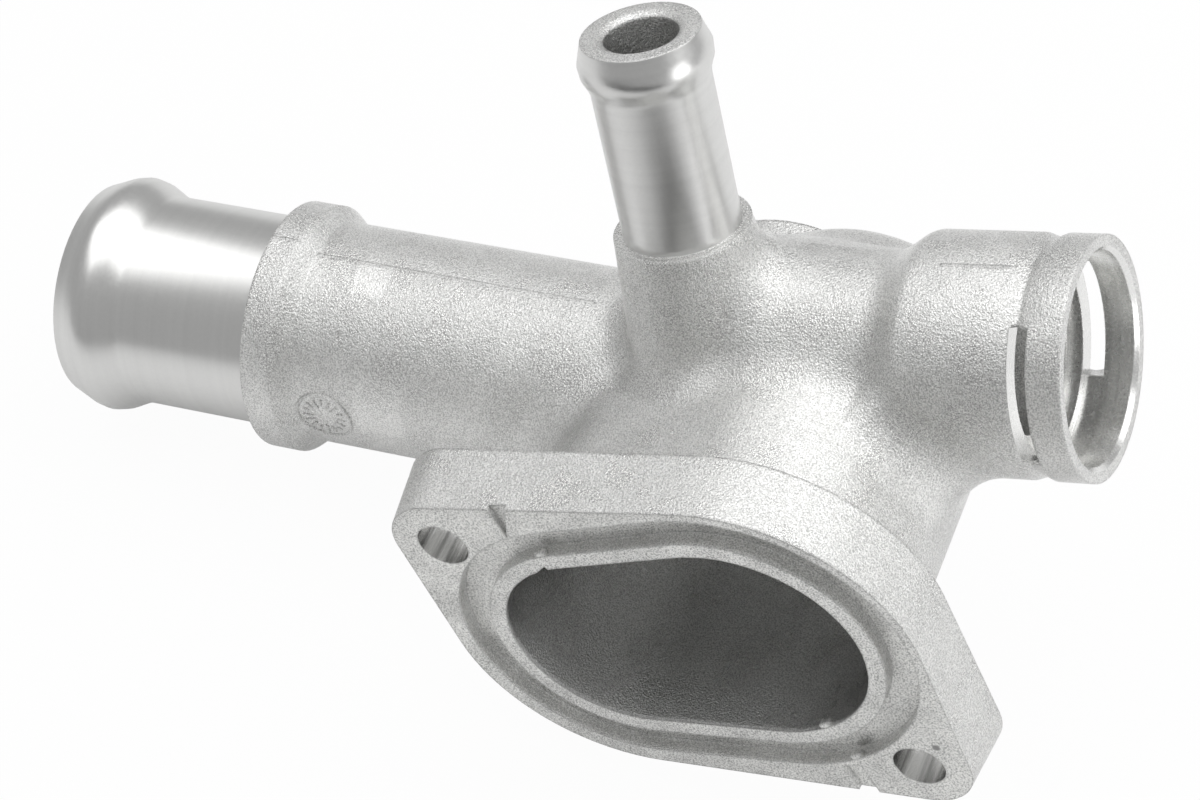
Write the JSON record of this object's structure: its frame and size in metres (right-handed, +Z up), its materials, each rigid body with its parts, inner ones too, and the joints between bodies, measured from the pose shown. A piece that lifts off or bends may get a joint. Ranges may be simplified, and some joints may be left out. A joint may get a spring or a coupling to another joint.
{
  "type": "coolant hose flange",
  "caption": "Cast coolant outlet flange with an oval sealed port, a large and a small hose spigot, and a round sensor socket with clip slots.",
  "frame": {"origin": "midway between the two bolt holes, on the sealing face", "axes": "-Y out of the sealing face, +Z up towards the small spigot, +X towards the sensor socket"},
  "size_m": [0.1552, 0.064, 0.0951],
  "materials": {
    "cast_aluminium": "fine as-cast skin, with machined sealing face, spigots and socket bore"
  },
  "bodies": {
    "root": {"flange_casting": "cast_aluminium"}
  },
  "joints": []
}
